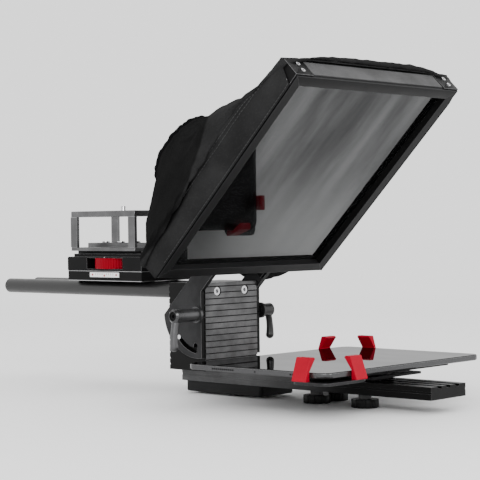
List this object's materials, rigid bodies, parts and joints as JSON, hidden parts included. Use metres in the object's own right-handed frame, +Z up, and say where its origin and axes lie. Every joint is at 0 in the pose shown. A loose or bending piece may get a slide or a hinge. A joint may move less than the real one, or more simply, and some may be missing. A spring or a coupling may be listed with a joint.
{
  "type": "teleprompter",
  "caption": "Teleprompter: beam-splitter glass in a tilting frame with a fabric hood, camera sled on twin rods and a tablet held by red corner clips on a slotted base rail.",
  "frame": {"origin": "Mouth of the 3/8 inch tripod thread, at the centre of the underside of the base plate.", "axes": "+Z up. +Y back towards the camera and its rods; -Y towards the person who reads. +X to the right of the person who reads."},
  "size_m": [0.302, 0.7055, 0.3844],
  "materials": {
    "black_anodised": "satin black anodised",
    "grey_anodised": "satin grey anodised",
    "rod_black": "gloss black",
    "steel": "bright",
    "lever_metal": "satin grey die cast",
    "red_grip": "satin red",
    "knob_plastic": "matte black",
    "rubber": "matte",
    "beam_glass": "part mirror",
    "hood_fabric": "woven, stitched seams",
    "hook_tape": "hook-and-loop",
    "tablet_metal": "satin",
    "tablet_glass": "gloss",
    "index_white": "matte"
  },
  "bodies": {
    "base": {"base_plate": "black_anodised", "base_rail": "black_anodised", "underside_screws": "steel", "riser_block": "black_anodised", "rod_left": "rod_black", "rod_right": "rod_black", "rod_screws": "steel", "rod_end_caps": "rubber", "pivot_studs": "steel", "guide_pins": "steel"},
    "glass_unit": {"wing_left": "black_anodised", "wing_right": "black_anodised", "frame_feet": "black_anodised", "foot_screws": "steel", "frame_bar_top": "black_anodised", "frame_bar_right": "black_anodised", "frame_bar_bottom": "black_anodised", "frame_bar_left": "black_anodised", "glass_retainers": "black_anodised", "beam_splitter_glass": "beam_glass", "corner_brackets": "black_anodised", "bracket_screws": "steel", "hook_tapes": "hook_tape", "hood": "hood_fabric", "hood_collar": "hood_fabric"},
    "lever_left": {"lever_left": "lever_metal"},
    "lever_right": {"lever_right": "lever_metal"},
    "sled": {"sled_base": "black_anodised", "sled_tongue": "black_anodised", "quick_release_body": "black_anodised", "lock_wheel_axle": "steel", "index_strip": "index_white", "sled_screws": "steel"},
    "sled_clamp": {"sled_clamp_knob": "knob_plastic"},
    "lock_wheel": {"lock_wheel": "red_grip"},
    "riser": {"dovetail_plate": "black_anodised", "riser_bottom_plate": "grey_anodised", "riser_posts": "grey_anodised", "riser_top_plate": "grey_anodised", "riser_rib": "grey_anodised", "riser_rib_screws": "steel"},
    "camera_screw": {"camera_screw": "steel"},
    "carriage": {"carriage_plate": "black_anodised", "tray_spacers": "black_anodised", "tray": "black_anodised", "tray_pads": "rubber", "tablet_body": "tablet_metal", "tablet_screen": "tablet_glass"},
    "knob_front": {"knob_front": "knob_plastic"},
    "knob_rear_left": {"knob_rear_left": "knob_plastic"},
    "knob_rear_right": {"knob_rear_right": "knob_plastic"},
    "arm_near": {"corner_arm_near": "black_anodised", "clip_side_near": "red_grip", "clip_end_near": "red_grip"},
    "arm_far": {"corner_arm_far": "black_anodised", "clip_side_far": "red_grip", "clip_end_far": "red_grip"},
    "arm_lock_near": {"arm_lock_knob_near": "knob_plastic"},
    "arm_lock_far": {"arm_lock_knob_far": "knob_plastic"}
  },
  "joints": [
    {"name": "glass_tilt", "type": "hinge", "parent": "base", "child": "glass_unit", "pos_m": [0, 0.0155, 0.0942], "axis": [1, 0, 0], "range_deg": [0, 40]},
    {"name": "lever_left_turn", "type": "hinge", "parent": "base", "child": "lever_left", "pos_m": [0, 0.0155, 0.0942], "axis": [1, 0, 0], "continuous": true},
    {"name": "lever_right_turn", "type": "hinge", "parent": "base", "child": "lever_right", "pos_m": [0, 0.0155, 0.0942], "axis": [1, 0, 0], "continuous": true},
    {"name": "sled_slide", "type": "slide", "parent": "base", "child": "sled", "axis": [0, 1, 0], "range_m": [-0.005, 0.14]},
    {"name": "sled_clamp_turn", "type": "hinge", "parent": "sled", "child": "sled_clamp", "pos_m": [0, 0.249, 0.1207], "axis": [0, 1, 0], "continuous": true},
    {"name": "lock_wheel_turn", "type": "hinge", "parent": "sled", "child": "lock_wheel", "pos_m": [-0.015, 0.187, 0.146], "axis": [0, 0, 1], "range_deg": [0, 60]},
    {"name": "riser_slide", "type": "slide", "parent": "sled", "child": "riser", "axis": [0, 1, 0], "range_m": [-0.005, 0.04]},
    {"name": "camera_screw_turn", "type": "hinge", "parent": "riser", "child": "camera_screw", "pos_m": [0, 0.199, 0.2115], "axis": [0, 0, 1], "continuous": true},
    {"name": "carriage_slide", "type": "slide", "parent": "base", "child": "carriage", "axis": [0, 1, 0], "range_m": [-0.06, 0.045]},
    {"name": "knob_front_turn", "type": "hinge", "parent": "carriage", "child": "knob_front", "pos_m": [-0.016, -0.203, 0], "axis": [0, 0, 1], "continuous": true},
    {"name": "knob_rear_left_turn", "type": "hinge", "parent": "carriage", "child": "knob_rear_left", "pos_m": [-0.016, -0.134, 0], "axis": [0, 0, 1], "continuous": true},
    {"name": "knob_rear_right_turn", "type": "hinge", "parent": "carriage", "child": "knob_rear_right", "pos_m": [0.016, -0.134, 0], "axis": [0, 0, 1], "continuous": true},
    {"name": "arm_near_slide", "type": "slide", "parent": "carriage", "child": "arm_near", "axis": [-0.8147, -0.5799, 0], "range_m": [0, 0.025]},
    {"name": "arm_far_slide", "type": "slide", "parent": "carriage", "child": "arm_far", "axis": [0.8147, 0.5799, 0], "range_m": [0, 0.025]},
    {"name": "arm_lock_near_turn", "type": "hinge", "parent": "carriage", "child": "arm_lock_near", "pos_m": [-0.05703, -0.19059, 0.026], "axis": [0, 0, 1], "continuous": true},
    {"name": "arm_lock_far_turn", "type": "hinge", "parent": "carriage", "child": "arm_lock_far", "pos_m": [0.05703, -0.10941, 0.026], "axis": [0, 0, 1], "continuous": true}
  ]
}
